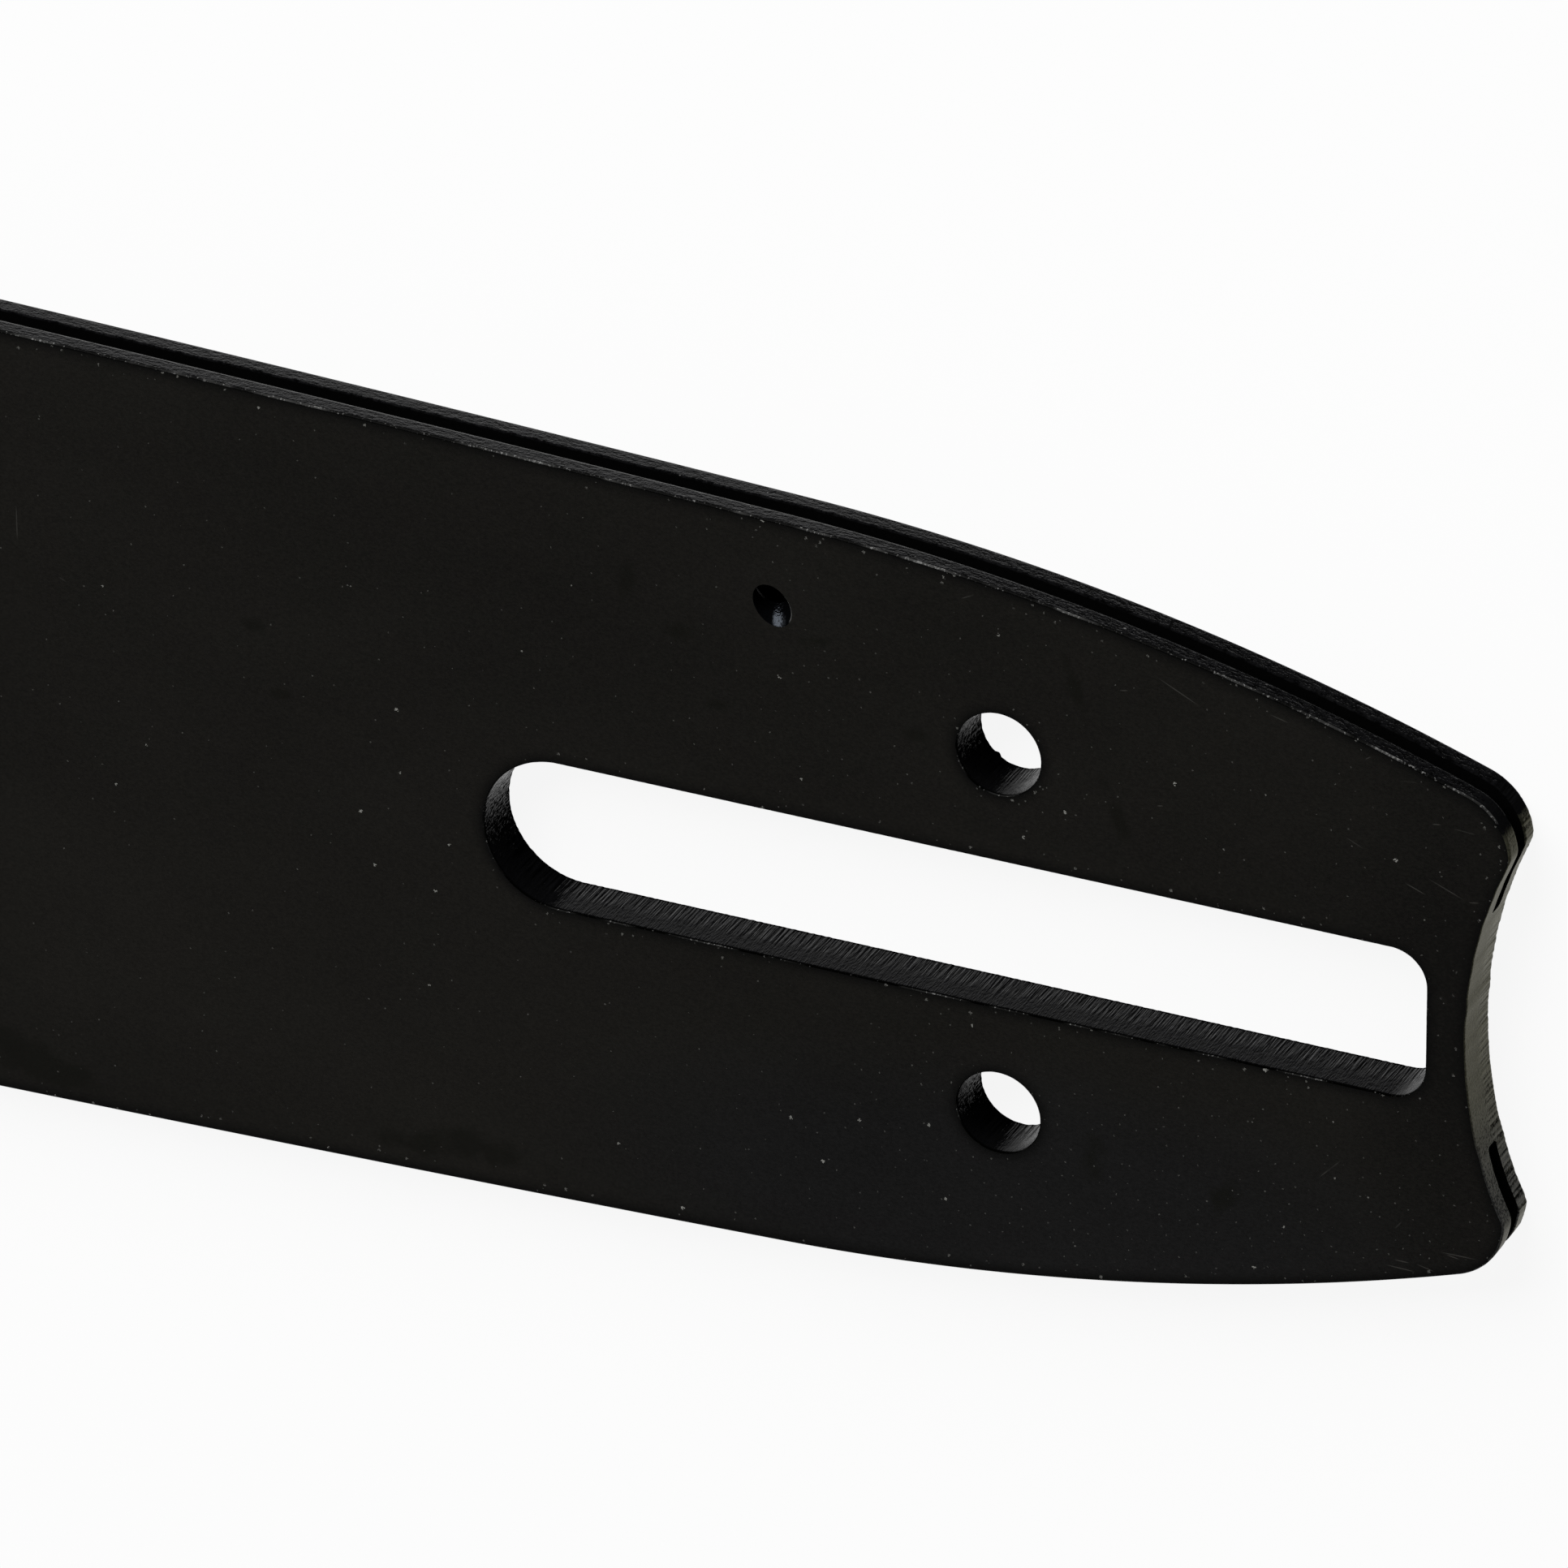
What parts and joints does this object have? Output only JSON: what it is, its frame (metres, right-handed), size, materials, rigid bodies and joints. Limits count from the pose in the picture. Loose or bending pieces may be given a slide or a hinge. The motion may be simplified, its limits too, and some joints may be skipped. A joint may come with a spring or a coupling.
{
  "type": "chainsaw guide bar",
  "caption": "Long flat solid steel chainsaw guide bar with crowned edges, a round nose, a horned tail, a chain groove round its edge, a stud slot, adjuster holes and slanted oil holes.",
  "frame": {"origin": "where the stud slot's centre line crosses the line through the two adjuster holes, on the lower face", "axes": "+X along the bar towards the tail, +Y across the bar, +Z through its thickness, upwards as it lies flat"},
  "size_m": [0.48, 0.067, 0.0044],
  "materials": {
    "blackened_steel": "black satin coating on the faces, thin dark scale on the rails, light bare metal on the cut tail end"
  },
  "bodies": {
    "root": {"guide_bar": "blackened_steel"}
  },
  "joints": []
}
